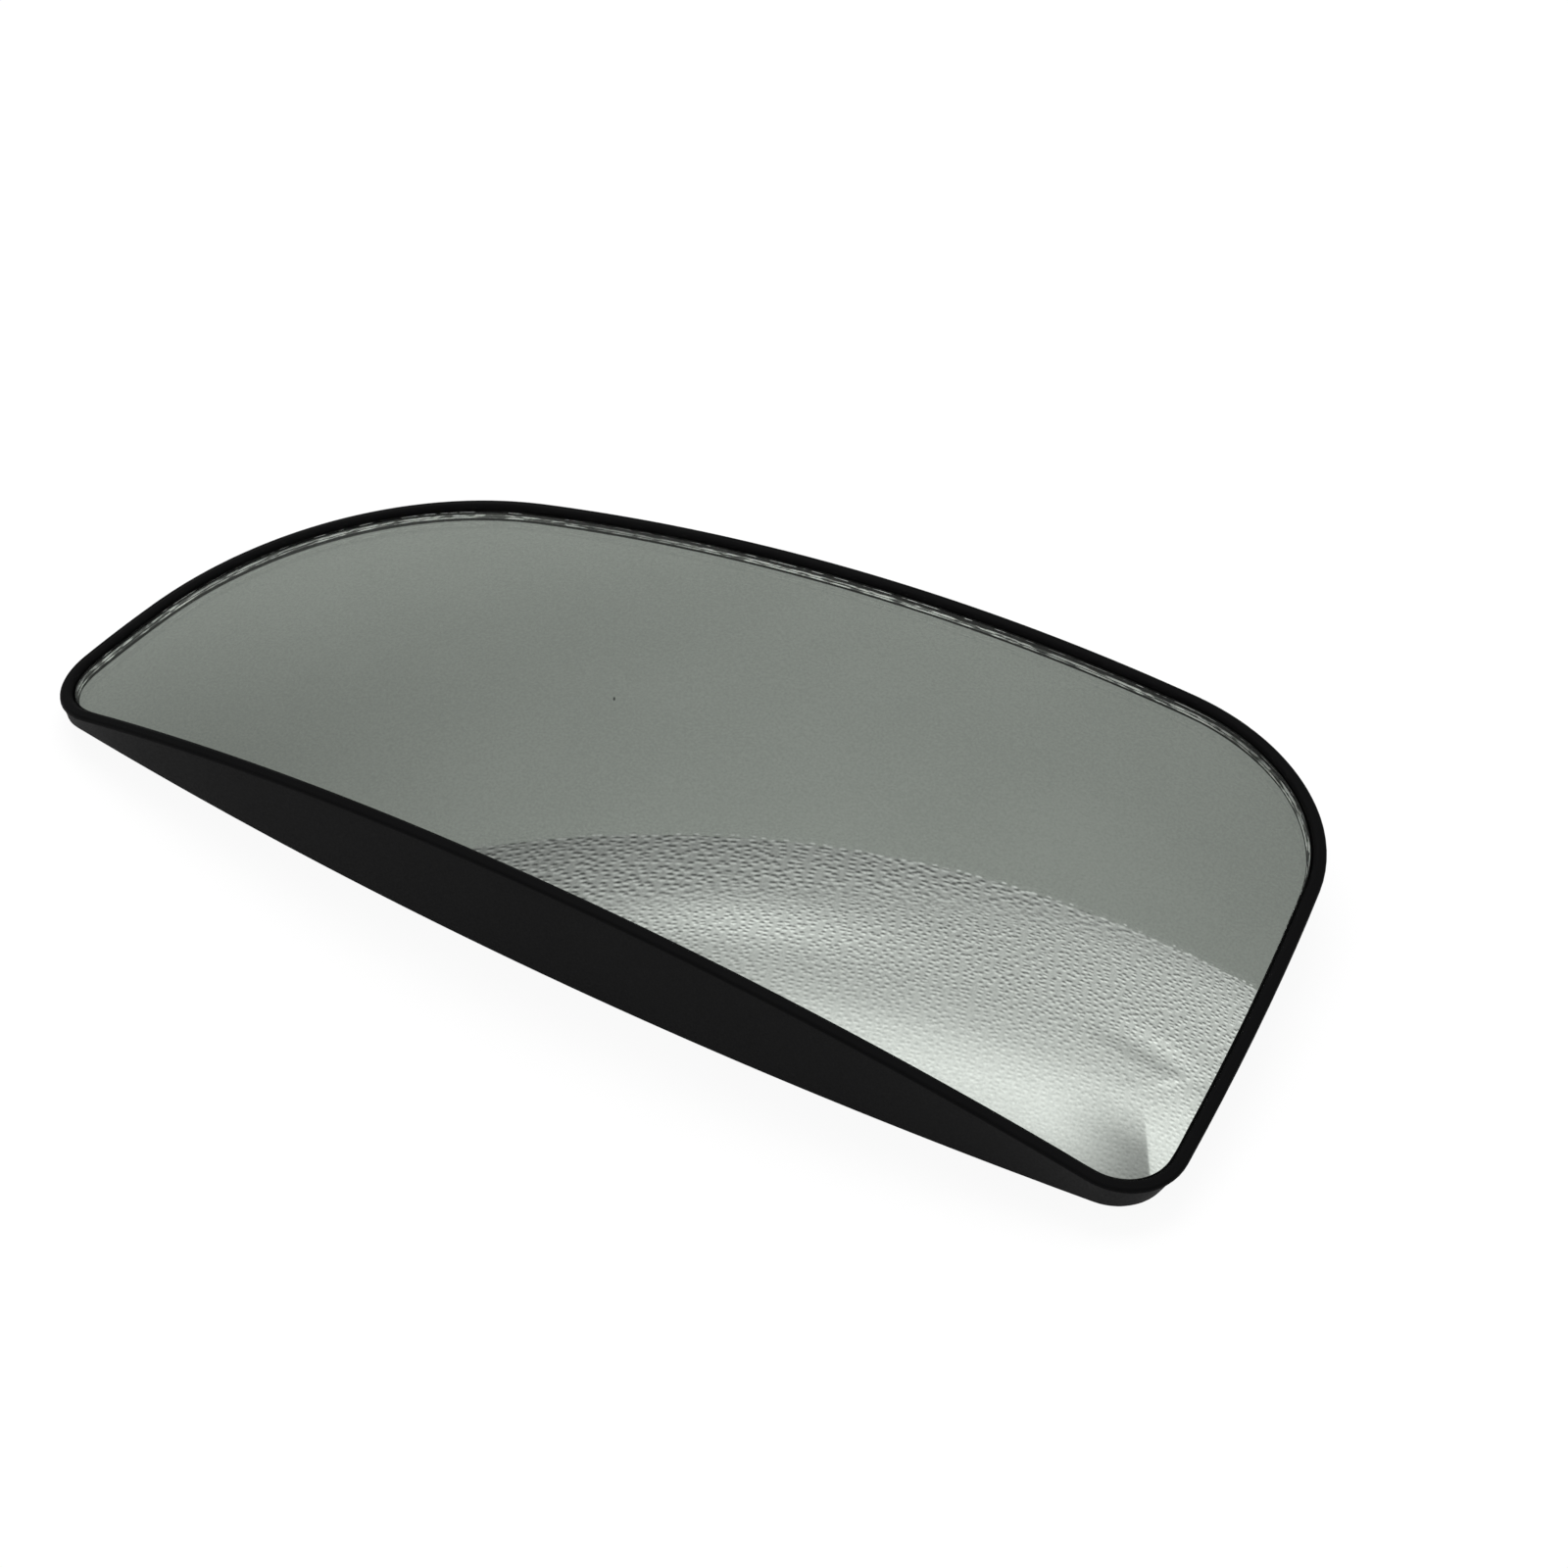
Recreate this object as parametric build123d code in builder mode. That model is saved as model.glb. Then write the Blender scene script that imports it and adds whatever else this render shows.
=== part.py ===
"""Convex door mirror glass: a domed second-surface mirror bonded into a black moulded carrier.

The part lies face up on the foot of its carrier.  The origin is on the dome's axis in the plane of
the foot, +X runs along the long edge and +Y points from the long edge to the rounded far side.
All sizes are in millimetres.
"""

import os
from math import radians, sqrt, tan

from build123d import *

# Rim outline in plan, measured from the dome's axis: corner points before rounding
near_left_x = -101.5
near_right_x = 96.5
long_edge_y = -41.0
far_right_x = 75.0
far_right_y = 50.0
far_left_x = -90.0
far_left_y = 22.0

# How far each side of the outline bows out from its chord
long_edge_bow = 6.3
right_side_bow = 2.7
far_side_bow = 0.4
left_side_bow = 1.5

# Corner radii of the outline
near_left_radius = 12.2
near_right_radius = 10.4
far_right_radius = 30.6
far_left_radius = 52.0

# Mirror: a spherical cap of constant thickness, with a ground arris round its front edge
mirror_radius = 300.0
glass_thickness = 2.0
glass_arris = 0.3
glass_clearance = 0.25

# Foam pad that bonds the glass to the carrier, let into the floor inside the seat of the glass
pad_thickness = 0.8
pad_margin = 4.0
pad_clearance = 0.25

# Carrier: rim lip, skirt and floor.  The seat of the glass is lowest in the corner farthest from the axis
end_seat_height = 2.65
lip_width = 2.0
lip_rise = 0.75
lip_depth = 0.55
lip_overhang = 0.25
lip_outer_round = 0.5
lip_inner_round = 0.65
floor_thickness = 2.0
skirt_wall = 2.0
skirt_draft = 6.0
foot_inset = 2.6
foot_shift_x = -1.2
foot_shift_y = 1.2
foot_left_radius = 5.5
foot_right_radius = 7.0
foot_round = 0.4

# Back of the carrier: slotted clip socket on the dome's axis and two crossing stiffening ribs
socket_bore_radius = 12.0
socket_wall = 2.4
socket_slots = 4
socket_slot_width = 2.0
socket_slot_depth = 7.0
rib_thickness = 1.8
rib_clearance = 4.0

# Points tried along each edge of an outline to find its farthest corner
outline_stations = 32


def outline(inset, left_radius=near_left_radius, right_radius=near_right_radius):
    """Rim outline, drawn inset from the outer edge of the lip, with its near corners as given."""
    near_left = Vector(near_left_x, long_edge_y)
    near_right = Vector(near_right_x, long_edge_y)
    far_right = Vector(far_right_x, far_right_y)
    far_left = Vector(far_left_x, far_left_y)
    roundings = (
        (near_left, left_radius),
        (near_right, right_radius),
        (far_right, far_right_radius),
        (far_left, far_left_radius),
    )
    with BuildSketch() as sketch:
        with BuildLine():
            SagittaArc(near_left, near_right, -long_edge_bow)
            SagittaArc(near_right, far_right, -right_side_bow)
            SagittaArc(far_right, far_left, -far_side_bow)
            SagittaArc(far_left, near_left, -left_side_bow)
        make_face()
        for corner, radius in roundings:
            fillet(sketch.vertices().sort_by_distance(corner)[0], radius)
        if inset:
            offset(amount=-inset, mode=Mode.REPLACE)
    return sketch.sketch


def reach(sketch):
    """Distance from the dome's axis to the farthest point of an outline."""
    stations = [step / outline_stations for step in range(outline_stations)]
    return max(point.length for edge in sketch.edges() for point in edge.positions(stations))


# Concentric sphere radii, from the top of the lip down to the underside of the floor
lip_top_radius = mirror_radius + lip_rise
lip_under_radius = lip_top_radius - lip_depth
glass_back_radius = mirror_radius - glass_thickness
floor_top_radius = glass_back_radius - pad_thickness
floor_under_radius = floor_top_radius - floor_thickness

# The seat meets the farthest corner of the pocket at its least height above the foot
dome_center_z = end_seat_height - sqrt(glass_back_radius**2 - reach(outline(lip_width)) ** 2)
mirror_top_height = dome_center_z + mirror_radius

# Insets of the nested outlines from the outer edge of the lip
glass_inset = lip_width + glass_clearance
pad_inset = glass_inset + pad_margin
recess_inset = pad_inset - pad_clearance
hollow_inset = foot_inset + skirt_wall

# Prisms reach above every dome, and the ribs across the whole back
prism_height = mirror_top_height + lip_rise + lip_depth
rib_reach = 2 * (near_right_x - near_left_x)
hollow_growth = prism_height * tan(radians(skirt_draft))
socket_outer_radius = socket_bore_radius + socket_wall


def foot_outline(inset):
    """Outline of the foot, which stands inside the rim and is set back from the long edge."""
    corners = (foot_left_radius + foot_inset, foot_right_radius + foot_inset)
    return outline(inset, *corners).moved(Location((foot_shift_x, foot_shift_y, 0)))


def ball(radius, mode):
    """Ball about the dome's centre, with its seam turned down, away from the mirror."""
    with Locations((0, 0, dome_center_z)):
        Sphere(radius, rotation=(0, 90, 0), mode=mode)


def dome_layer(inset, top_radius, under_radius):
    """Layer of the dome between two radii, trimmed to the rim outline."""
    with BuildPart() as layer:
        extrude(outline(inset), amount=prism_height)
        ball(top_radius, Mode.INTERSECT)
        ball(under_radius, Mode.SUBTRACT)
    return layer.part


def dished_space(inset, floor_radius):
    """Space above a dished floor, trimmed to the rim outline."""
    with BuildPart() as space:
        extrude(outline(inset), amount=prism_height)
        ball(floor_radius, Mode.SUBTRACT)
    return space.part


def export_node(node, name):
    """Label one finished piece and write it to its own file."""
    node.part.label = name
    export_step(node.part, f"parts/{name}.step")


os.makedirs("parts", exist_ok=True)

# Space for the glass, down to its seat, and for the pad, down to the floor
glass_pocket = dished_space(lip_width, glass_back_radius)
pad_recess = dished_space(recess_inset, floor_top_radius)

# Open back: a drafted hollow under the floor, less the ribs and the socket ring
with BuildPart() as hollow:
    hollow_top = foot_outline(hollow_inset - hollow_growth).moved(Location((0, 0, prism_height)))
    loft(sections=[foot_outline(hollow_inset).face(), hollow_top.face()], ruled=True)
    ball(floor_under_radius, Mode.INTERSECT)
    with Locations((0, 0, rib_clearance)):
        rib_align = (Align.CENTER, Align.CENTER, Align.MIN)
        Box(rib_reach, rib_thickness, prism_height, align=rib_align, mode=Mode.SUBTRACT)
        Box(rib_thickness, rib_reach, prism_height, align=rib_align, mode=Mode.SUBTRACT)
    with BuildSketch():
        Circle(socket_outer_radius)
    extrude(amount=prism_height, mode=Mode.SUBTRACT)

# Socket bore, slotted at its mouth so that its fingers can spring
with BuildPart() as bore:
    with BuildSketch():
        Circle(socket_bore_radius)
    extrude(amount=prism_height)
    ball(floor_under_radius, Mode.INTERSECT)
    with BuildSketch():
        with PolarLocations(socket_bore_radius + socket_wall / 2, socket_slots, start_angle=45):
            Rectangle(2 * socket_wall, socket_slot_width)
    extrude(amount=socket_slot_depth)

# Carrier moulding: skirt, rim lip, seat, dished floor, ribs and socket in one piece
with BuildPart() as carrier:
    rim_under = dome_layer(lip_overhang, lip_under_radius, floor_top_radius)
    rim_under_face = rim_under.faces().filter_by(GeomType.SPHERE).sort_by(Axis.Z)[-1]
    loft(sections=[foot_outline(foot_inset).face(), rim_under_face], ruled=True)
    add(dome_layer(0, lip_top_radius, lip_under_radius))
    add(glass_pocket, mode=Mode.SUBTRACT)
    add(pad_recess, mode=Mode.SUBTRACT)
    add(hollow.part, mode=Mode.SUBTRACT)
    add(bore.part, mode=Mode.SUBTRACT)
    lip_top = carrier.faces().filter_by(GeomType.SPHERE).sort_by(Axis.Z)[-1]
    fillet(lip_top.outer_wire().edges(), lip_outer_round)
    lip_top = carrier.faces().filter_by(GeomType.SPHERE).sort_by(Axis.Z)[-1]
    fillet(lip_top.inner_wires()[0].edges(), lip_inner_round)
    foot_face = carrier.faces().group_by(Axis.Z)[0].sort_by(SortBy.AREA)[-1]
    fillet(foot_face.outer_wire().edges(), foot_round)
export_node(carrier, "carrier")

# Mirror glass, silvered on its back
with BuildPart() as mirror_glass:
    add(dome_layer(glass_inset, mirror_radius, glass_back_radius))
    front = mirror_glass.faces().filter_by(GeomType.SPHERE).sort_by(Axis.Z)[-1]
    chamfer(front.outer_wire().edges(), glass_arris)
export_node(mirror_glass, "mirror_glass")

# Double-sided foam pad under the glass
with BuildPart() as adhesive_pad:
    add(dome_layer(pad_inset, glass_back_radius, floor_top_radius))
export_node(adhesive_pad, "adhesive_pad")
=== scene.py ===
from functools import reduce
from math import cos, radians, sin

import bmesh
import bpy
import numpy as np
from mathutils import Matrix, Vector, geometry, noise


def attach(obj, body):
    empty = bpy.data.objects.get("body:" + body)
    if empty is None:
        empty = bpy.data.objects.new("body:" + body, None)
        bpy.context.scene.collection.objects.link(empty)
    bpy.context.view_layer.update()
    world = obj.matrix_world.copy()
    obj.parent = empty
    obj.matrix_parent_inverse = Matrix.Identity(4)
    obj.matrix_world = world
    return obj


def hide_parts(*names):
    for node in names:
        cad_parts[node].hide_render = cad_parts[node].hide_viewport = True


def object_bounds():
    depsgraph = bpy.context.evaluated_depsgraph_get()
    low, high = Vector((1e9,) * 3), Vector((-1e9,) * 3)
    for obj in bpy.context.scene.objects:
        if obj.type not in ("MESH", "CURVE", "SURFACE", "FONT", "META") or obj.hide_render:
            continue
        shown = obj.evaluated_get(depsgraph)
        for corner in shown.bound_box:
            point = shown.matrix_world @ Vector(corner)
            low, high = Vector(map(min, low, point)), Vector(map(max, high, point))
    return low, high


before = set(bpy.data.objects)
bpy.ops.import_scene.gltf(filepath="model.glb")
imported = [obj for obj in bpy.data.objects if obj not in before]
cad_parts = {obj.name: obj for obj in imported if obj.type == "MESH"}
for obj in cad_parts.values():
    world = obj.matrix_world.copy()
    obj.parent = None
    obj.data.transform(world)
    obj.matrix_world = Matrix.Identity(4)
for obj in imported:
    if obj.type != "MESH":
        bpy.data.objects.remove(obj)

cad_low, cad_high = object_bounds()

# Camera, as an orbit round a point of the mirror: degrees, metres, and millimetres of lens
camera_azimuth = 34.515
camera_elevation = 39.926
camera_distance = 0.851174
camera_target = Vector((0.010013, -0.003562, 0.014728))
camera_lens = 135.658
camera_sensor = 36.0
camera_nearest = 0.01
camera_farthest = 50.0

# Glass: front radius and thickness, in metres as in the solid that it stands for.  Its back stands
# a hair clear of the pad and seat.
mirror_radius = 0.300
glass_thickness = 0.002
coat_gap = 0.00009
back_radius = mirror_radius - glass_thickness + coat_gap
glass_ior = 1.52

# Edge of the glass: a narrow arris over fine ground grooves, with heights as shares of the pane's.
# One groove has its slope painted dark, as painted shade.
front_arris = 0.0001
arris_height = 0.97
groove_count = 6
groove_depth = 0.0002
grooved_from = 0.08
grooved_to = 0.74
painted_shade_groove = 2

# Chips along the ground edge: depth, how many to a metre along and up the edge, and smaller chips
# among them, as shares of that depth and multiples of that number
chip_depth = 0.00005
chip_density = 420.0
chip_density_up = 1500.0
small_chip_share = 0.5
small_chip_multiple = 2.3

# Mesh of the pane: stations round it, rings across it, the share of the least ring, the least distance
# between points taken from the solid's outline, and steps along each span between them
outline_stations = 1100
front_rings = 18
back_rings = 20
least_ring = 0.04
closest_outline_points = 0.0004
span_steps = 24

# Rim lip of the carrier: radius of its underside about the dome's centre, and the half width of the
# blend there between the skirt's finish and the lip's, whose darker colours are painted shade
lip_under_radius = 0.3002
lip_blend = 0.0001

# Finishes.  A noise is features to a metre, detail and roughness.  A step is smooth, and is where it
# starts and ends, then its levels there, which are 0 and 1 if left out.
white = (1.0, 1.0, 1.0, 1.0)

# Clear front of the glass, with a trace of haze
glass_tint = (0.98, 0.993, 0.98, 1.0)
haze_noise = (60.0, 4.0, 0.5)
haze_step = (0.35, 0.75, 0.0, 0.012)

# Ground edge: streaks, shorter up the edge than along it, and the broad patches that they come in
streak_stretch = (1.0, 1.0, 3.5)
streak_noise = (400.0, 2.0, 0.5)
patch_noise = (48.0, 2.0, 0.5)
ground_roughness = 0.5
dark_ground_specular = 0.1

# Arris, painted near black as painted shade, and faintly clouded
arris_noise = (160.0, 2.0, 0.5)
arris_shade_colors = ((0.008, 0.0082, 0.008, 1.0), (0.014, 0.0144, 0.014, 1.0))

# Slopes of the grooves: frosted in streaks and patches, and less so towards the long edge, as painted
# shade; seen from outside the pane they are painted dark as painted shade
slope_streak_step = (0.42, 0.56, 0.12, 1.0)
slope_patch_step = (0.35, 0.58, 0.45, 1.0)
slope_y_step = (-0.038, -0.03, 0.2, 1.0)
slope_shade_and_frost_colors = ((0.02, 0.021, 0.02, 1.0), (0.95, 0.965, 0.95, 1.0))

# Ledges of the grooves: painted dark as painted shade, with bright flecks as painted glints, full down to
# one depth under the front dome and gone at another
glint_streak_step = (0.49, 0.58)
glint_patch_step = (0.4, 0.55, 0.3, 1.0)
glint_full_depth = 0.00078
glint_end_depth = 0.00088
ledge_shade_and_glint_colors = ((0.008, 0.0084, 0.0082, 1.0), (0.66, 0.675, 0.66, 1.0))

# Silver: a blend of soft mottle and fine grain
mottle_noise = (35.0, 3.0, 0.5)
mottle_share = 0.35
silver_grain_noise = (2400.0, 1.0, 0.5)
silver_step = (0.3, 0.7)
silver_colors = ((0.73, 0.75, 0.727, 1.0), (0.83, 0.849, 0.825, 1.0))
silver_roughness = 0.012

# Dark speck in the silver, in plan: place, direction of its length, half sizes and ragged rim
speck_place = Vector((-0.0164, -0.0084, 0.0))
speck_direction = Vector((-0.57, 0.82, 0.0)).normalized()
speck_aside = speck_direction.cross(Vector((0.0, 0.0, 1.0)))
speck_length = 0.0005
speck_width = 0.00018
speck_noise = (2600.0, 2.0, 0.5)
speck_step = (0.9, 1.5, 1.0, 0.0)
speck_color = (0.08, 0.085, 0.08, 1.0)

# Moulded plastic: fine grain and broad clouds, with its own roughness on the rim lip and darker colours
# there that are painted shade
plastic_grain_noise = (3200.0, 3.0, 0.6)
plastic_cloud_noise = (60.0, 3.0, 0.5)
skirt_colors = ((0.0044, 0.0044, 0.0046, 1.0), (0.006, 0.006, 0.0062, 1.0))
lip_shade_colors = ((0.0034, 0.0034, 0.0036, 1.0), (0.0046, 0.0046, 0.0048, 1.0))
skirt_roughness = 0.52
lip_roughness = 0.4
grain_roughness_step = (0.25, 0.75, 0.0, 0.14)
grain_strength = 0.35
grain_height = 0.00006
plastic_specular = 0.02

# Foam: cells to a metre, the relief of its cells, and clouds
foam_cells = 1600.0
foam_strength = 0.5
foam_height = 0.0002
foam_cloud_noise = (90.0, 3.0, 0.5)
foam_colors = ((0.68, 0.68, 0.64, 1.0), (0.8, 0.8, 0.77, 1.0))
foam_roughness = 0.85

# Floor: half length, colour, and the share of plain white over its shading
floor_reach = 3.0
floor_color = (0.9, 0.9, 0.9, 1.0)
floor_whiteness = 0.92

# Tent round the set: its level, which drifts a little, and glows as direction, cosine of their rim and
# gain.  The frosted edge of the glass sees it in white.
tent_radius = 2.6
tent_segments = 48
tent_rings = 24
tent_color = (0.252, 0.266, 0.25)
tent_level = 0.62
tent_drift = 0.012
tent_noise = (0.8, 2.0, 0.5)
tent_noise_limits = (0.3, 0.7)
tent_glows = (
    (Vector((0.03, 0.022, 0.999)), 0.429, 0.743),
    (Vector((-0.469, 0.846, -0.254)), 0.3, 0.687),
)
frost_light = 1.5

# Overhead lining: place and direction of its edge, half length and depth, where the edge lies and how
# it bows with the square of the way along, the clear hem before it, and the fade at the far sides
lining_height = 0.8
lining_edge_start = Vector((-0.197, 0.543, lining_height))
lining_edge_direction = Vector((0.909, 0.417, 0.0)).normalized()
lining_reach = 0.8
lining_depth = 0.62
lining_edge = -0.019
lining_bow = 0.071
lining_hem = 0.032
lining_fade = 0.2

# Edge of the lining: how far its pebbles stand out, and where it softens
ragged_depth = 0.006
soft_from = 0.001
soft_to = 0.003

# Lining: light levels against shares of a depth, more light to the right, less so farther in, and soft
# patches of painted light and shade as centre, half size, tilt in degrees and gain
lining_levels_depth = 0.4
lining_levels = (
    (0.0, 0.35),
    (0.11, 0.42),
    (0.31, 0.465),
    (0.47, 0.5),
    (0.58, 0.58),
    (0.655, 0.74),
    (0.745, 0.86),
    (0.83, 0.82),
    (0.95, 0.58),
)
lining_rise_step = (0.0, 0.36, 1.0, 0.2)
lining_light_patches = (
    ((-0.12, 0.137), (0.13, 0.038), 0.0, 0.22),
    ((0.3, 0.165), (0.045, 0.012), 16.0, 0.17),
    ((0.285, 0.194), (0.06, 0.011), 9.0, -0.13),
    ((0.317, 0.211), (0.036, 0.004), -42.0, 0.22),
    ((0.336, 0.235), (0.03, 0.035), 0.0, 0.1),
)
lining_green = 1.025

# Fold of the lining: its line, the shade that deepens towards the line and ends on it, and the depths
# between which it shows
fold_start = (0.284, 0.247)
fold_direction = (0.236, 0.972)
fold_shade = 0.6
fold_rise_step = (-0.11, -0.004)
fold_fall_step = (0.0, 0.003, 1.0, 0.0)
fold_near_step = (0.25, 0.33)
fold_far_step = (0.39, 0.46, 1.0, 0.0)

# Pebbles of the lining, coarse along its edge and finer farther in and to the right: length, width,
# shift of the painted lit and shaded sides, and rim as a share of their spacing
coarse_pebble = (0.0116, 0.0079, 0.0021, 0.48)
fine_pebble = (0.0088, 0.0064, 0.0014, 0.42)
fine_step = (0.02, 0.1)
fine_lean = 0.25
pebble_core = 0.1
pebble_scatter = 0.75
lit_side_gain = 0.6
shaded_side_gain = 0.65
relief_step = (0.1, 0.33, 1.3, 0.2)
relief_right_step = (0.22, 0.3, 0.0, 0.06)
speckle_noise = (420.0, 3.0, 0.7)
speckle_step = (0.3, 0.7, 0.92, 1.08)

# Lights: level of the surroundings as a light, and an overhead lamp with its power in watts
sky_light = 0.75
lamp_size_x = 1.2
lamp_size_y = 0.9
lamp_power = 16.0
lamp_place = Vector((-0.35, 0.45, 1.3))

# Places of the colour sockets among those of a Mix node
mix_factor = 0
mix_first = 6
mix_second = 7
mix_result = 2

# Shape of the mirror, read from the solid glass, whose facets lie a hair below the true dome
glass_points = np.array([vertex.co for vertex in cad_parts["mirror_glass"].data.vertices])
dome_drop = np.sqrt(mirror_radius**2 - np.square(glass_points[:, :2]).sum(axis=1))
dome_z = min(max(glass_points[:, 2] - dome_drop), cad_high[2] - mirror_radius)
dome_center = Vector((0.0, 0.0, dome_z))


def fill(tree, node, inputs):
    """Set inputs of a node to values, or link them to sockets."""
    for key, value in inputs.items():
        if isinstance(value, bpy.types.NodeSocket):
            tree.links.new(value, node.inputs[key])
        else:
            node.inputs[key].default_value = value


def add_node(tree, kind, inputs=None, **settings):
    """Add a shader node, set its properties and fill its inputs."""
    made = tree.nodes.new(kind)
    for name, value in settings.items():
        setattr(made, name, value)
    fill(tree, made, inputs or {})
    return made


def calculate(tree, operation, *values):
    """Add a math node on numbers or sockets and return its result."""
    return add_node(tree, "ShaderNodeMath", dict(enumerate(values)), operation=operation).outputs[0]


def total(tree, *values):
    """Sum of numbers or sockets."""
    return reduce(lambda first, second: calculate(tree, "ADD", first, second), values)


def product(tree, *values):
    """Product of numbers or sockets."""
    return reduce(lambda first, second: calculate(tree, "MULTIPLY", first, second), values)


def vector_math(tree, operation, first, second, output="Vector"):
    """Add a vector math node on two vectors and return its result."""
    inputs = {0: first, 1: second}
    return add_node(tree, "ShaderNodeVectorMath", inputs, operation=operation).outputs[output]


def ease(tree, value, low, high, at_low=0.0, at_high=1.0):
    """Smooth step of a value from one level to another."""
    inputs = {"Value": value, "From Min": low, "From Max": high, "To Min": at_low, "To Max": at_high}
    made = add_node(tree, "ShaderNodeMapRange", inputs, interpolation_type="SMOOTHSTEP")
    return made.outputs["Result"]


def mix_color(tree, factor, first, second):
    """Blend two colours."""
    inputs = {mix_factor: factor, mix_first: first, mix_second: second}
    return add_node(tree, "ShaderNodeMix", inputs, data_type="RGBA").outputs[mix_result]


def mix_shader(tree, factor, first, second):
    """Blend two shaders."""
    return add_node(tree, "ShaderNodeMixShader", {0: factor, 1: first, 2: second}).outputs[0]


def bump(tree, height, strength, distance):
    """Normal over a relief of a height in metres."""
    inputs = {"Height": height, "Strength": strength, "Distance": distance}
    return add_node(tree, "ShaderNodeBump", inputs).outputs[0]


def object_place(tree):
    """Coordinates of the shaded point in metres."""
    return tree.nodes.new("ShaderNodeTexCoord").outputs["Object"]


def noise_value(tree, place, pattern):
    """Fractal noise from 0 to 1."""
    scale, detail, roughness = pattern
    inputs = {"Vector": place, "Scale": scale, "Detail": detail, "Roughness": roughness}
    return add_node(tree, "ShaderNodeTexNoise", inputs).outputs[0]


def dome_reach(tree, place):
    """Distance of the shaded point from the dome's centre."""
    return vector_math(tree, "DISTANCE", place, dome_center, "Value")


def new_material(name):
    """Material with one Principled shader."""
    material = bpy.data.materials.new(name)
    material.use_nodes = True
    tree = material.node_tree
    return material, tree, tree.nodes["Principled BSDF"]


def stage_material(name):
    """Material with nothing but its output."""
    material = bpy.data.materials.new(name)
    material.use_nodes = True
    tree = material.node_tree
    tree.nodes.clear()
    return material, tree, tree.nodes.new("ShaderNodeOutputMaterial")


def add_object(name, data):
    """Link a mesh, lamp or camera to the scene as an object."""
    made = bpy.data.objects.new(name, data)
    bpy.context.scene.collection.objects.link(made)
    return made


def clear_glass():
    """Clear front of the pane, with a trace of haze."""
    material, tree, shader = new_material("clear_glass")
    haze = noise_value(tree, object_place(tree), haze_noise)
    finish = {
        "Base Color": glass_tint,
        "Roughness": ease(tree, haze, *haze_step),
        "Transmission Weight": 1.0,
        "IOR": glass_ior,
    }
    fill(tree, shader, finish)
    return material


def ground_arris():
    """Narrow arris round the front of the pane, painted dark as painted shade."""
    material, tree, shader = new_material("ground_arris")
    cloud = noise_value(tree, object_place(tree), arris_noise)
    finish = {
        "Base Color": mix_color(tree, cloud, *arris_shade_colors),
        "Roughness": ground_roughness,
        "Specular IOR Level": dark_ground_specular,
    }
    fill(tree, shader, finish)
    return material


def edge_texture(tree, place):
    """Short streaks along the ground edge, and the broad patches that they come in."""
    stretched = vector_math(tree, "MULTIPLY", place, streak_stretch)
    return noise_value(tree, stretched, streak_noise), noise_value(tree, place, patch_noise)


def seen_through_glass(tree):
    """One where the edge is seen from inside the pane."""
    return tree.nodes.new("ShaderNodeNewGeometry").outputs["Backfacing"]


def ground_slope():
    """Frosted slope of a groove, with darker streaks, painted dark as painted shade where seen from outside
    the pane and partly so towards the long edge.
    """
    material, tree, shader = new_material("ground_slope")
    place = object_place(tree)
    streaks, patches = edge_texture(tree, place)
    y = add_node(tree, "ShaderNodeSeparateXYZ", {0: place}).outputs["Y"]
    # Painted shade: the slope is dark where seen from outside the pane and darker towards the long edge
    frost_against_shade = product(
        tree,
        ease(tree, streaks, *slope_streak_step),
        ease(tree, patches, *slope_patch_step),
        ease(tree, y, *slope_y_step),
        seen_through_glass(tree),
    )
    fill(tree, shader, {"Base Color": mix_color(tree, frost_against_shade, *slope_shade_and_frost_colors), "Roughness": ground_roughness})
    return material


def ground_ledge():
    """Ledge of a groove, painted dark as painted shade, with small bright painted glints near the front of
    the pane.
    """
    material, tree, shader = new_material("ground_ledge")
    place = object_place(tree)
    streaks, patches = edge_texture(tree, place)
    # Painted glints on painted shade, shown only where the ledge is seen from inside the pane
    end, full = mirror_radius - glint_end_depth, mirror_radius - glint_full_depth
    high = ease(tree, dome_reach(tree, place), end, full)
    glint_patches = product(tree, ease(tree, patches, *glint_patch_step), high)
    glints = product(tree, ease(tree, streaks, *glint_streak_step), glint_patches, seen_through_glass(tree))
    finish = {
        "Base Color": mix_color(tree, glints, *ledge_shade_and_glint_colors),
        "Roughness": ground_roughness,
        "Specular IOR Level": dark_ground_specular,
    }
    fill(tree, shader, finish)
    return material


def speck(tree, place):
    """One in the dark speck of the silver, and nothing beyond its ragged rim."""
    offset = vector_math(tree, "SUBTRACT", place, speck_place)
    squares = []
    for direction, half in ((speck_direction, speck_length), (speck_aside, speck_width)):
        share = vector_math(tree, "DOT_PRODUCT", offset, direction / half, "Value")
        squares.append(product(tree, share, share))
    ragged = total(tree, *squares, noise_value(tree, place, speck_noise))
    return ease(tree, ragged, *speck_step)


def silvering():
    """Reflecting coat on the back of the pane, with one dark speck."""
    material, tree, shader = new_material("silvering")
    place = object_place(tree)
    mottle = product(tree, noise_value(tree, place, mottle_noise), mottle_share)
    grain = product(tree, noise_value(tree, place, silver_grain_noise), 1.0 - mottle_share)
    silver = mix_color(tree, ease(tree, total(tree, mottle, grain), *silver_step), *silver_colors)
    finish = {
        "Base Color": mix_color(tree, speck(tree, place), silver, speck_color),
        "Metallic": 1.0,
        "Roughness": silver_roughness,
    }
    fill(tree, shader, finish)
    return material


# Finishes of the pane, in the order of its material slots
pane_materials = {
    "front": clear_glass,
    "arris": ground_arris,
    "slope": ground_slope,
    "ledge": ground_ledge,
    "back": silvering,
}
slot_of = {finish: slot for slot, finish in enumerate(pane_materials)}


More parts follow.
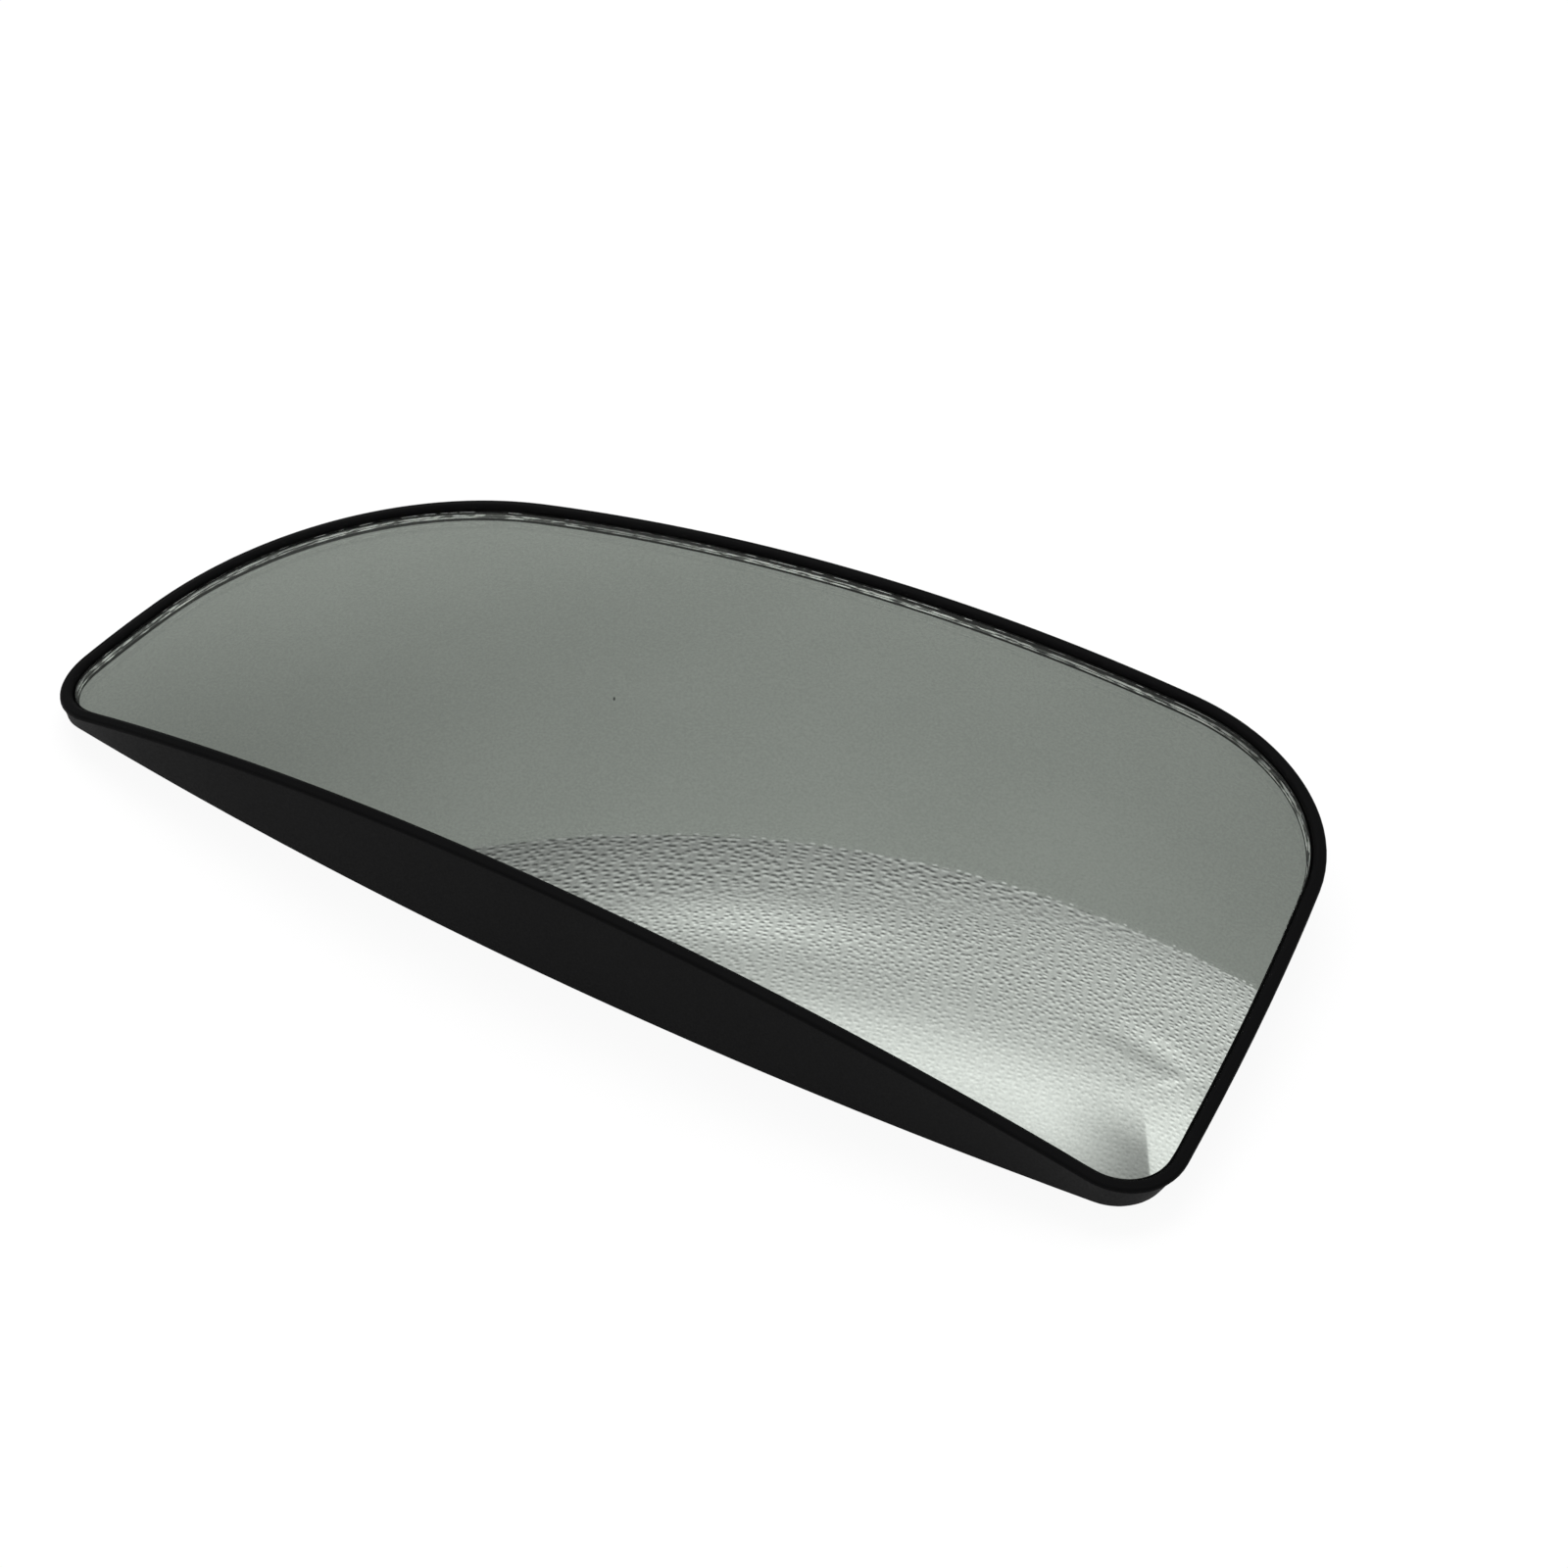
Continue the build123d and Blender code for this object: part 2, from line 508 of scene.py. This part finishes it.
def moulded_plastic():
    """Fine-grained matte black plastic, a little smoother on the rim lip and painted darker there as
    painted shade.
    """
    material, tree, shader = new_material("moulded_plastic")
    place = object_place(tree)
    lip = ease(tree, dome_reach(tree, place), lip_under_radius - lip_blend, lip_under_radius + lip_blend)
    grain = noise_value(tree, place, plastic_grain_noise)
    cloud = noise_value(tree, place, plastic_cloud_noise)
    skirt_color = mix_color(tree, cloud, *skirt_colors)
    # Painted shade: the lip's colours are darker than the skirt's
    lip_shade_color = mix_color(tree, cloud, *lip_shade_colors)
    base_roughness = ease(tree, lip, 0.0, 1.0, skirt_roughness, lip_roughness)
    finish = {
        "Base Color": mix_color(tree, lip, skirt_color, lip_shade_color),
        "Roughness": total(tree, ease(tree, grain, *grain_roughness_step), base_roughness),
        "Normal": bump(tree, grain, grain_strength, grain_height),
        "Specular IOR Level": plastic_specular,
    }
    fill(tree, shader, finish)
    return material


def foam():
    """Off-white closed-cell foam."""
    material, tree, shader = new_material("foam")
    place = object_place(tree)
    cells = add_node(tree, "ShaderNodeTexVoronoi", {"Vector": place, "Scale": foam_cells})
    cloud = noise_value(tree, place, foam_cloud_noise)
    finish = {
        "Base Color": mix_color(tree, cloud, *foam_colors),
        "Roughness": foam_roughness,
        "Normal": bump(tree, cells.outputs["Distance"], foam_strength, foam_height),
    }
    fill(tree, shader, finish)
    return material


def smooth_loop(points, count):
    """Even stations along a closed cubic Hermite curve through the points, with their inward normals."""
    before, after, beyond = (np.roll(points, shift, axis=0) for shift in (1, -1, -2))
    spans = np.linalg.norm(after - points, axis=1)
    span_before, span_after = np.roll(spans, 1), np.roll(spans, -1)

    def slope(first, middle, last, span_first, span_last):
        lead = (middle - first) / span_first[:, None]
        follow = (last - middle) / span_last[:, None]
        weight = (span_last / (span_first + span_last))[:, None]
        return lead * weight + follow * (1 - weight)

    leaving = slope(before, points, after, span_before, spans) * spans[:, None]
    arriving = slope(points, after, beyond, spans, span_after) * spans[:, None]
    steps = np.linspace(0.0, 1.0, span_steps, endpoint=False)[:, None, None]
    fine = (
        (2 * steps**3 - 3 * steps**2 + 1) * points
        + (steps**3 - 2 * steps**2 + steps) * leaving
        + (3 * steps**2 - 2 * steps**3) * after
        + (steps**3 - steps**2) * arriving
    )
    fine = fine.transpose(1, 0, 2).reshape(-1, 2)
    closed = np.vstack([fine, fine[:1]])
    lengths = np.concatenate([[0.0], np.cumsum(np.linalg.norm(np.diff(closed, axis=0), axis=1))])
    stations = np.linspace(0.0, lengths[-1], count, endpoint=False)
    loop = np.column_stack([np.interp(stations, lengths, closed[:, axis]) for axis in (0, 1)])
    tangent = np.roll(loop, -1, axis=0) - np.roll(loop, 1, axis=0)
    tangent /= np.linalg.norm(tangent, axis=1)[:, None]
    return loop, np.column_stack([-tangent[:, 1], tangent[:, 0]])


def glass_outline():
    """Outline of the solid glass in plan, anticlockwise, at even stations."""
    hull = geometry.convex_hull_2d([Vector(point[:2]) for point in glass_points])
    corners = glass_points[hull][:, :2]
    kept = [corners[0]]
    for corner in corners[1:]:
        if np.linalg.norm(corner - kept[-1]) > closest_outline_points:
            kept.append(corner)
    if np.linalg.norm(kept[-1] - kept[0]) < closest_outline_points:
        kept.pop()
    loop = np.array(kept)
    turning = np.roll(loop, -1, axis=0)
    if (loop[:, 0] * turning[:, 1] - turning[:, 0] * loop[:, 1]).sum() < 0:
        loop = loop[::-1]
    return smooth_loop(loop, outline_stations)


def glass_level(height):
    """Distance from the dome's centre at a share of the pane's height."""
    return back_radius + height * (mirror_radius - back_radius)


def on_dome(plan, radius):
    """Points of a sphere about the dome's centre, over a ring in plan."""
    height = dome_z + np.sqrt(np.square(radius) - np.square(plan).sum(axis=1))
    return np.column_stack([plan, height])


def chips(plan, height):
    """Depth of the chips of the ground edge at one height, from noise in space."""
    depths = []
    for x, y in plan:
        place = Vector((x * chip_density, y * chip_density, height * glass_thickness * chip_density_up))
        rough = noise.noise(place) + small_chip_share * noise.noise(place * small_chip_multiple)
        depths.append(max(0.0, rough))
    return chip_depth * np.array(depths)


def edge_profile():
    """Height, depth and finish of each ring down the edge: the arris, then the grooves."""
    grooves = np.linspace(grooved_to, grooved_from, groove_count + 1)
    profile = [(arris_height, 0.0, "arris")]
    for groove, (top, bottom) in enumerate(zip(grooves, grooves[1:])):
        # One groove's slope takes the ledge finish: painted shade with painted glints
        profile.append((top, groove_depth, "ledge" if groove == painted_shade_groove else "slope"))
        profile.append((bottom, 0.0, "ledge"))
    profile.append((grooved_from, groove_depth, "ledge"))
    return profile


def pane_rings():
    """Points of the pane, ring by ring from its front over its edge to its back, then the two poles.

    With them come the finishes, one for each ring, of the strip from that ring to the next.
    """
    loop, inward = glass_outline()
    center = loop.mean(axis=0)
    rings, finishes = [], []
    front = loop + inward * front_arris
    for share in np.linspace(least_ring, 1.0, front_rings):
        rings.append(on_dome(center + share * (front - center), mirror_radius))
        finishes.append("front")
    finishes[-1] = "arris"
    for height, inset, finish in edge_profile():
        depth = inset + chips(loop, height) * (finish != "arris")
        rings.append(on_dome(loop + inward * depth[:, None], glass_level(height)))
        finishes.append(finish)
    back = loop + inward * groove_depth
    for share in np.linspace(1.0, least_ring, back_rings):
        rings.append(on_dome(center + share * (back - center), back_radius))
        finishes.append("back")
    poles = [on_dome(center[None], radius) for radius in (mirror_radius, back_radius)]
    return np.vstack(rings + poles), finishes


def pane_faces(finishes):
    """Faces between the rings and round the two poles, with their finishes."""
    count = outline_stations
    front_pole = len(finishes) * count
    back_pole = front_pole + 1
    last_ring = front_pole - count
    faces, face_finishes = [], []
    for ring, finish in enumerate(finishes[:-1]):
        upper, lower = ring * count, (ring + 1) * count
        for station in range(count):
            follow = (station + 1) % count
            faces.append((upper + station, lower + station, lower + follow, upper + follow))
            face_finishes.append(finish)
    for station in range(count):
        follow = (station + 1) % count
        faces.append((front_pole, station, follow))
        faces.append((back_pole, last_ring + follow, last_ring + station))
        face_finishes += ["front", "back"]
    return faces, face_finishes


def read_all(items, name, width=1, kind=np.int32):
    """One property of every vertex, edge, corner or face of a mesh."""
    values = np.empty(width * len(items), dtype=kind)
    items.foreach_get(name, values)
    return values.reshape(-1, width) if width > 1 else values


def mark_sharp(mesh, rings):
    """Mark the edges along some rings of the pane as sharp."""
    ring_of = read_all(mesh.edges, "vertices", 2) // outline_stations
    sharp = (ring_of[:, 0] == ring_of[:, 1]) & np.isin(ring_of[:, 0], rings)
    mesh.attributes.new("sharp_edge", "BOOLEAN", "EDGE").data.foreach_set("value", sharp)


def turn_outward(mesh):
    """Turn the faces of a closed mesh outward."""
    shaped = bmesh.new()
    shaped.from_mesh(mesh)
    bmesh.ops.recalc_face_normals(shaped, faces=shaped.faces)
    shaped.to_mesh(mesh)
    shaped.free()


def set_dome_normals(mesh):
    """Give the front and the back of the pane the exact normals of their spheres.

    The other faces get a zero normal, which keeps their own.
    """
    corners = read_all(mesh.loops, "vertex_index")
    places = read_all(mesh.vertices, "co", 3, np.float32)
    outward = places[corners] - np.array(dome_center)
    outward /= np.linalg.norm(outward, axis=1)[:, None]
    slots = np.repeat(read_all(mesh.polygons, "material_index"), read_all(mesh.polygons, "loop_total"))
    way = np.where(slots == slot_of["front"], 1.0, np.where(slots == slot_of["back"], -1.0, 0.0))
    mesh.normals_split_custom_set((outward * way[:, None]).tolist())


def make_glass():
    """Closed pane: clear front, arris and grooved edge, silvered back."""
    points, finishes = pane_rings()
    faces, face_finishes = pane_faces(finishes)
    mesh = bpy.data.meshes.new("glass_pane")
    mesh.from_pydata(points.tolist(), [], faces)
    mesh.polygons.foreach_set("material_index", [slot_of[finish] for finish in face_finishes])
    mesh.polygons.foreach_set("use_smooth", [True] * len(faces))
    mark_sharp(mesh, range(front_rings - 1, len(finishes) - back_rings + 1))
    turn_outward(mesh)
    for make_material in pane_materials.values():
        mesh.materials.append(make_material())
    set_dome_normals(mesh)
    pane = add_object("glass_pane", mesh)
    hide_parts("mirror_glass")
    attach(pane, "root")


def dress_node(name, material):
    """Give a solid its finish."""
    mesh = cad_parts[name].data
    mesh.materials.clear()
    mesh.materials.append(material)


def shown_background(tree):
    """One for rays that look at the background: from the camera, or by way of metal and glass."""
    rays = tree.nodes.new("ShaderNodeLightPath").outputs
    seen = calculate(tree, "MAXIMUM", rays["Is Camera Ray"], rays["Is Glossy Ray"])
    return calculate(tree, "MAXIMUM", seen, rays["Is Transmission Ray"])


def only_in_reflections(card):
    """Hide a studio card from the camera, and keep it from lighting and shading the set."""
    card.visible_camera = False
    card.visible_diffuse = False
    card.visible_shadow = False
    card.visible_volume_scatter = False


def make_card(name, low, high, material):
    """Flat rectangle between two corners in its own XY plane."""
    (left, near), (right, far) = low, high
    corners = [(left, near, 0.0), (right, near, 0.0), (right, far, 0.0), (left, far, 0.0)]
    mesh = bpy.data.meshes.new(name)
    mesh.from_pydata(corners, [], [(0, 1, 2, 3)])
    mesh.materials.append(material)
    return add_object(name, mesh)


def floor_material():
    """White paper, which shows as nearly plain white with a trace of the object's shadow."""
    material, tree, output = stage_material("floor_white")
    paper = add_node(tree, "ShaderNodeBsdfDiffuse", {"Color": floor_color}).outputs[0]
    glowing = add_node(tree, "ShaderNodeEmission", {"Strength": 1.0}).outputs[0]
    share = product(tree, shown_background(tree), floor_whiteness)
    fill(tree, output, {"Surface": mix_shader(tree, share, paper, glowing)})
    return material


def make_floor():
    """White floor that keeps the object's shadow."""
    reach = floor_reach
    floor = make_card("floor", (-reach, -reach), (reach, reach), floor_material())


def tent_material():
    """Grey-green glowing cloth, white to the light that the frosted edge of the glass scatters."""
    material, tree, output = stage_material("tent_cloth")
    place = object_place(tree)
    cloud = noise_value(tree, place, tent_noise)
    level = ease(tree, cloud, *tent_noise_limits, tent_level - tent_drift, tent_level + tent_drift)
    for direction, rim, gain in tent_glows:
        facing = vector_math(tree, "DOT_PRODUCT", place, direction / tent_radius, "Value")
        level = total(tree, level, ease(tree, facing, rim, 1.0, 0.0, gain))
    inputs = {0: tent_color, "Scale": level}
    tone = add_node(tree, "ShaderNodeVectorMath", inputs, operation="SCALE").outputs[0]
    depth = tree.nodes.new("ShaderNodeLightPath").outputs["Diffuse Depth"]
    scattered = calculate(tree, "MINIMUM", depth, 1.0)
    inputs = {
        "Color": mix_color(tree, scattered, tone, white),
        "Strength": ease(tree, scattered, 0.0, 1.0, 1.0, frost_light * glass_ior**2),
    }
    fill(tree, output, {"Surface": add_node(tree, "ShaderNodeEmission", inputs).outputs[0]})
    return material


def make_tent():
    """Studio tent that the mirror looks into."""
    mesh = bpy.data.meshes.new("tent")
    shaped = bmesh.new()
    bmesh.ops.create_uvsphere(
        shaped, u_segments=tent_segments, v_segments=tent_rings, radius=tent_radius
    )
    shaped.to_mesh(mesh)
    shaped.free()
    mesh.materials.append(tent_material())
    tent = add_object("tent", mesh)
    only_in_reflections(tent)


def pebbles(tree, along, into, length, width, shift, rim):
    """Soft spots scattered as pebbles of one size: one at their middles, nothing between."""
    inputs = {
        "X": calculate(tree, "DIVIDE", along, length),
        "Y": calculate(tree, "DIVIDE", total(tree, into, shift), width),
    }
    place = add_node(tree, "ShaderNodeCombineXYZ", inputs).outputs[0]
    inputs = {"Vector": place, "Scale": 1.0, "Randomness": pebble_scatter}
    cells = add_node(tree, "ShaderNodeTexVoronoi", inputs, voronoi_dimensions="2D")
    return ease(tree, cells.outputs["Distance"], pebble_core, rim, 1.0, 0.0)


def pebble_lit_and_shaded_sides(tree, along, into):
    """Painted lit and shaded sides of the lining's pebbles, each one at its middle."""
    fine = ease(tree, total(tree, into, product(tree, along, fine_lean)), *fine_step)
    coarse = calculate(tree, "SUBTRACT", 1.0, fine)
    sides = []
    for way in (-1.0, 1.0):
        spots = []
        for (length, width, shift, rim), share in ((coarse_pebble, coarse), (fine_pebble, fine)):
            spots.append(product(tree, pebbles(tree, along, into, length, width, way * shift, rim), share))
        sides.append(total(tree, *spots))
    return sides


def glow(tree, along, into, center, size, tilt):
    """Soft patch of painted light on the lining, with its length turned from the edge by a tilt in degrees.
    """
    turn = radians(tilt)
    aside = calculate(tree, "SUBTRACT", along, center[0])
    beyond = calculate(tree, "SUBTRACT", into, center[1])
    squares = []
    for first, second, half in ((cos(turn), sin(turn), size[0]), (-sin(turn), cos(turn), size[1])):
        offset = total(tree, product(tree, aside, first / half), product(tree, beyond, second / half))
        squares.append(product(tree, offset, offset))
    return calculate(tree, "EXPONENT", product(tree, total(tree, *squares), -1.0))


def depth_level(tree, into):
    """Level of the lining by the depth in from its edge."""
    levels = tree.nodes.new("ShaderNodeValToRGB")
    fill(tree, levels, {0: calculate(tree, "DIVIDE", into, lining_levels_depth)})
    elements = levels.color_ramp.elements
    elements[0].position = lining_levels[0][0]
    elements[1].position = lining_levels[-1][0]
    for position, _ in lining_levels[1:-1]:
        elements.new(position)
    for element, (_, level) in zip(elements, lining_levels):
        element.color = (level, level, level, 1.0)
    return levels.outputs[0]


def fold_light(tree, along, into):
    """Share of the light that the fold of the lining leaves."""
    fold_along, fold_into = fold_direction
    beside = calculate(
        tree,
        "SUBTRACT",
        product(tree, calculate(tree, "SUBTRACT", along, fold_start[0]), fold_into),
        product(tree, calculate(tree, "SUBTRACT", into, fold_start[1]), fold_along),
    )
    shade = product(
        tree,
        ease(tree, beside, *fold_rise_step),
        ease(tree, beside, *fold_fall_step),
        ease(tree, into, *fold_near_step),
        ease(tree, into, *fold_far_step),
    )
    return calculate(tree, "SUBTRACT", 1.0, product(tree, shade, fold_shade))


def lining_tone(tree, along, into):
    """Light level of the lining: brighter away from its edge and to the right, with painted streaks of
    light and shade, and the shade of a fold.
    """
    rise = product(tree, along, ease(tree, into, *lining_rise_step))
    tone = product(tree, depth_level(tree, into), total(tree, rise, 1.0))
    for center, size, tilt, gain in lining_light_patches:
        tone = total(tree, tone, product(tree, glow(tree, along, into, center, size, tilt), gain))
    return product(tree, tone, fold_light(tree, along, into))


def lining_cover(tree, along, into, pale):
    """One on the lining, and nothing beyond its ragged bowed edge and its far sides."""
    bowed = calculate(tree, "SUBTRACT", into, product(tree, along, along, lining_bow))
    ragged = total(tree, bowed, product(tree, pale, ragged_depth))
    cover = ease(tree, ragged, lining_edge + soft_from, lining_edge + soft_to)
    for distance, reach in ((calculate(tree, "ABSOLUTE", along), lining_reach), (into, lining_depth)):
        cover = product(tree, cover, ease(tree, distance, reach - lining_fade, reach, 1.0, 0.0))
    return cover


def lining_material():
    """Pebbled silver lining, lit unevenly, with the pebbles' relief painted as lit and shaded sides."""
    material, tree, output = stage_material("lining_silver")
    place = object_place(tree)
    along, into, _ = add_node(tree, "ShaderNodeSeparateXYZ", {0: place}).outputs
    tone = lining_tone(tree, along, into)
    # The pebbles' relief is painted light and shade: pale is the lit side, dark the shaded side
    pale, dark = pebble_lit_and_shaded_sides(tree, along, into)
    relief = calculate(tree, "SUBTRACT", product(tree, pale, lit_side_gain), product(tree, dark, shaded_side_gain))
    contrast = total(tree, ease(tree, into, *relief_step), ease(tree, along, *relief_right_step))
    tone = total(tree, tone, product(tree, relief, contrast, tone))
    speckle = ease(tree, noise_value(tree, place, speckle_noise), *speckle_step)
    tone = product(tree, tone, speckle)
    inputs = {"Red": tone, "Green": product(tree, tone, lining_green), "Blue": tone}
    silver = add_node(tree, "ShaderNodeCombineColor", inputs).outputs[0]
    cloth = add_node(tree, "ShaderNodeEmission", {"Color": silver}).outputs[0]
    clear = tree.nodes.new("ShaderNodeBsdfTransparent").outputs[0]
    cover = lining_cover(tree, along, into, pale)
    fill(tree, output, {"Surface": mix_shader(tree, cover, clear, cloth)})
    return material


def make_lining():
    """Overhead softbox lining, with its edge along the local X axis and its body along +Y."""
    low, high = (-lining_reach, -lining_hem), (lining_reach, lining_depth)
    lining = make_card("lining", low, high, lining_material())
    across = lining_edge_direction.cross(Vector((0.0, 0.0, 1.0)))
    axes = Matrix((lining_edge_direction, across, Vector((0.0, 0.0, -1.0)))).transposed()
    lining.matrix_world = Matrix.Translation(lining_edge_start) @ axes.to_4x4()
    only_in_reflections(lining)


def make_sky():
    """Even white surroundings, a little dimmer as a light than to the eye."""
    world = bpy.data.worlds.new("studio")
    bpy.context.scene.world = world
    world.use_nodes = True
    tree = world.node_tree
    tree.nodes.clear()
    level = ease(tree, shown_background(tree), 0.0, 1.0, sky_light, 1.0)
    sky = add_node(tree, "ShaderNodeBackground", {"Color": white, "Strength": level}).outputs[0]
    add_node(tree, "ShaderNodeOutputWorld", {"Surface": sky})


def make_lamp():
    """Soft lamp overhead, kept out of the mirror."""
    lamp = bpy.data.lights.new("softbox_lamp", "AREA")
    lamp.shape = "RECTANGLE"
    lamp.size = lamp_size_x
    lamp.size_y = lamp_size_y
    lamp.energy = lamp_power
    holder = add_object("softbox_lamp", lamp)
    holder.location = lamp_place
    holder.rotation_mode = "QUATERNION"
    holder.rotation_quaternion = (-lamp_place).to_track_quat("-Z", "Y")
    holder.visible_camera = False
    holder.visible_glossy = False
    holder.visible_transmission = False


def make_camera():
    """Camera at the photograph's place."""
    lens = bpy.data.cameras.new("camera")
    lens.sensor_width = camera_sensor
    lens.lens = camera_lens
    lens.clip_start = camera_nearest
    lens.clip_end = camera_farthest
    camera = add_object("camera", lens)
    turn, rise = radians(camera_azimuth), radians(camera_elevation)
    back = Vector((sin(turn) * cos(rise), -cos(turn) * cos(rise), sin(rise)))
    camera.location = camera_target + back * camera_distance
    camera.rotation_mode = "QUATERNION"
    camera.rotation_quaternion = (-back).to_track_quat("-Z", "Y")
    bpy.context.scene.camera = camera


bpy.context.scene.view_settings.view_transform = "Standard"
make_camera()
make_sky()
make_lamp()
make_floor()
make_tent()
make_lining()
make_glass()
dress_node("carrier", moulded_plastic())
dress_node("adhesive_pad", foam())
